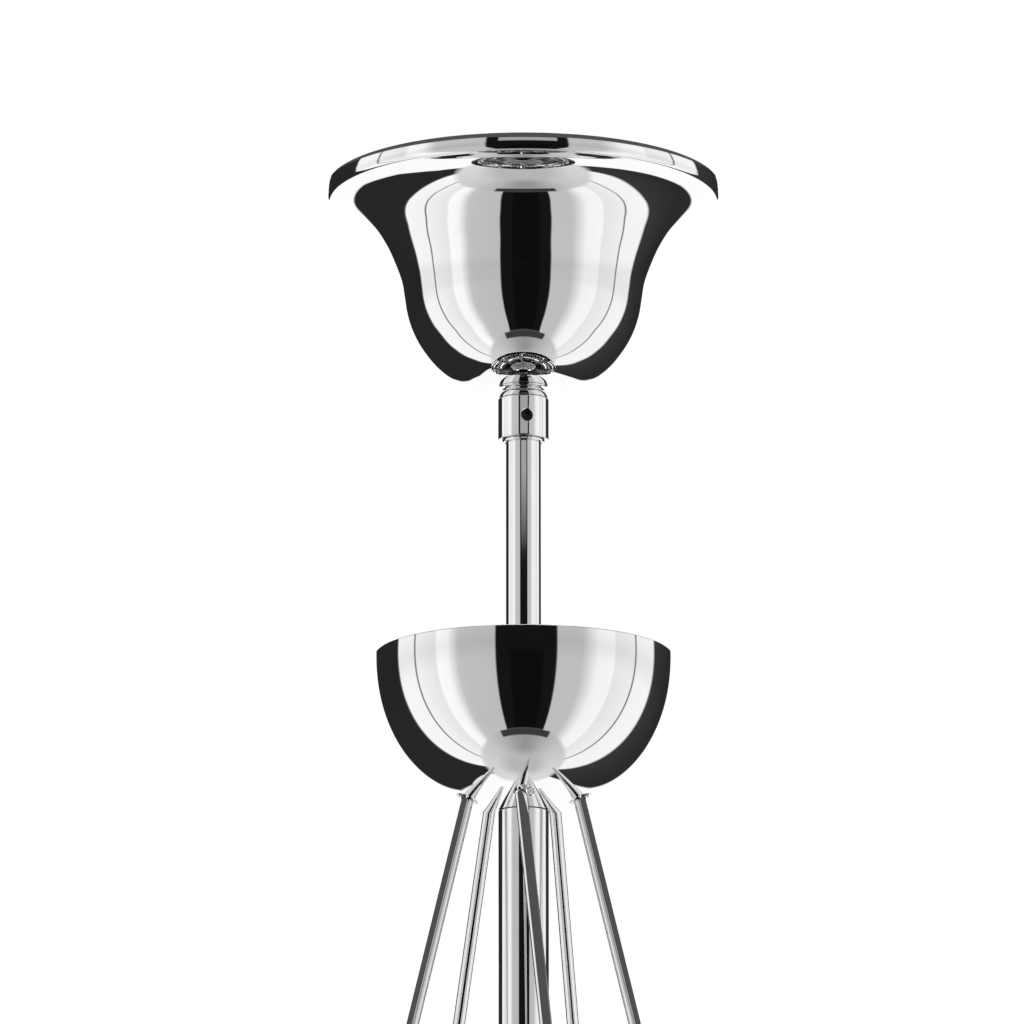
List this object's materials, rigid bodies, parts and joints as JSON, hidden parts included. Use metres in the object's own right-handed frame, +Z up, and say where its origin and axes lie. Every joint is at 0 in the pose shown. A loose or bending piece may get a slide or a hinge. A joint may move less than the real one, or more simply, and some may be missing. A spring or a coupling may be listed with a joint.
{
  "type": "ceiling light suspension",
  "caption": "Chrome suspension of a ceiling light: bell canopy on a sliding set collar, downrod, open bowl hub, centre tube and thin splayed rods, hung from a ceiling strap by crossed pins.",
  "frame": {"origin": "centre of the ceiling strap's top face, which is also the plane of the canopy's rim", "axes": "+Z up to the ceiling, -Y the front, +X along the strap"},
  "size_m": [0.18, 0.18, 0.415],
  "materials": {
    "chrome": "polished chrome plate",
    "zinc": "zinc-plated steel",
    "brass": "turned brass",
    "black_steel": "blackened steel",
    "block": "moulded plastic"
  },
  "bodies": {
    "ceiling_bracket": {"ceiling_strap": "zinc", "hanger_yoke": "zinc", "yoke_screw_1": "zinc", "yoke_screw_2": "zinc", "yoke_nut_1": "zinc", "yoke_nut_2": "zinc", "upper_pin": "zinc", "upper_pin_clip": "black_steel", "terminal_block": "block", "terminal_block_screw": "zinc", "clamp_screw_1": "brass", "clamp_screw_2": "brass", "clamp_screw_3": "brass", "earth_screw": "brass", "earth_washer": "brass"},
    "link": {"cross_link": "zinc"},
    "stem": {"stem_clevis": "zinc", "lower_pin": "zinc", "lower_pin_clip": "black_steel", "stem_lock_nut": "zinc", "downrod": "chrome", "downrod_top_plug": "brass", "downrod_bottom_plug": "brass", "hub_nipple": "zinc", "plate_washer": "zinc", "rod_plate": "zinc", "plate_nut": "zinc", "bowl_nut": "zinc", "bowl_washer": "zinc", "bowl": "chrome", "centre_tube": "chrome", "centre_tube_top_plug": "brass", "centre_tube_end_plug": "brass", "rod_nut_lower_1": "zinc", "rod_washer_1": "zinc", "rod_nut_upper_1": "zinc", "rod_nut_lower_2": "zinc", "rod_washer_2": "zinc", "rod_nut_upper_2": "zinc", "rod_nut_lower_3": "zinc", "rod_washer_3": "zinc", "rod_nut_upper_3": "zinc", "rod_nut_lower_4": "zinc", "rod_washer_4": "zinc", "rod_nut_upper_4": "zinc", "rod_nut_lower_5": "zinc", "rod_washer_5": "zinc", "rod_nut_upper_5": "zinc"},
    "rod_1": {"thin_rod_1": "chrome"},
    "rod_2": {"thin_rod_2": "chrome"},
    "rod_3": {"thin_rod_3": "chrome"},
    "rod_4": {"thin_rod_4": "chrome"},
    "rod_5": {"thin_rod_5": "chrome"},
    "collar": {"set_collar": "chrome", "collar_dome": "chrome", "collar_bush": "chrome"},
    "grub_screw": {"grub_screw": "black_steel"},
    "canopy": {"canopy": "chrome"}
  },
  "joints": [
    {"name": "swing_x", "type": "hinge", "parent": "ceiling_bracket", "child": "link", "pos_m": [0, 0, -0.02], "axis": [1, 0, 0], "range_deg": [-5, 5]},
    {"name": "swing_y", "type": "hinge", "parent": "link", "child": "stem", "pos_m": [0, 0, -0.034], "axis": [0, 1, 0], "range_deg": [-5, 5]},
    {"name": "collar_slide", "type": "slide", "parent": "stem", "child": "collar", "axis": [0, 0, 1], "range_m": [-0.095, 0]},
    {"name": "canopy_turn", "type": "hinge", "parent": "collar", "child": "canopy", "pos_m": [0, 0, -0.096], "axis": [0, 0, 1], "continuous": true},
    {"name": "grub_screw_out", "type": "slide", "parent": "collar", "child": "grub_screw", "axis": [0.1444, -0.9895, 0], "range_m": [0, 0.0015]},
    {"name": "rod_1_turn", "type": "hinge", "parent": "stem", "child": "rod_1", "pos_m": [-0.00306, -0.02179, -0.26], "axis": [0, 0, 1], "range_deg": [-2, 16]},
    {"name": "rod_2_turn", "type": "hinge", "parent": "stem", "child": "rod_2", "pos_m": [0.02092, -0.0068, -0.26], "axis": [0, 0, 1], "range_deg": [-18, 18]},
    {"name": "rod_3_turn", "type": "hinge", "parent": "stem", "child": "rod_3", "pos_m": [0.01293, 0.0178, -0.26], "axis": [0, 0, 1], "range_deg": [-34, 2]},
    {"name": "rod_4_turn", "type": "hinge", "parent": "stem", "child": "rod_4", "pos_m": [-0.01293, 0.0178, -0.26], "axis": [0, 0, 1], "range_deg": [-18, 18]},
    {"name": "rod_5_turn", "type": "hinge", "parent": "stem", "child": "rod_5", "pos_m": [-0.02092, -0.0068, -0.26], "axis": [0, 0, 1], "range_deg": [-18, 18]}
  ]
}
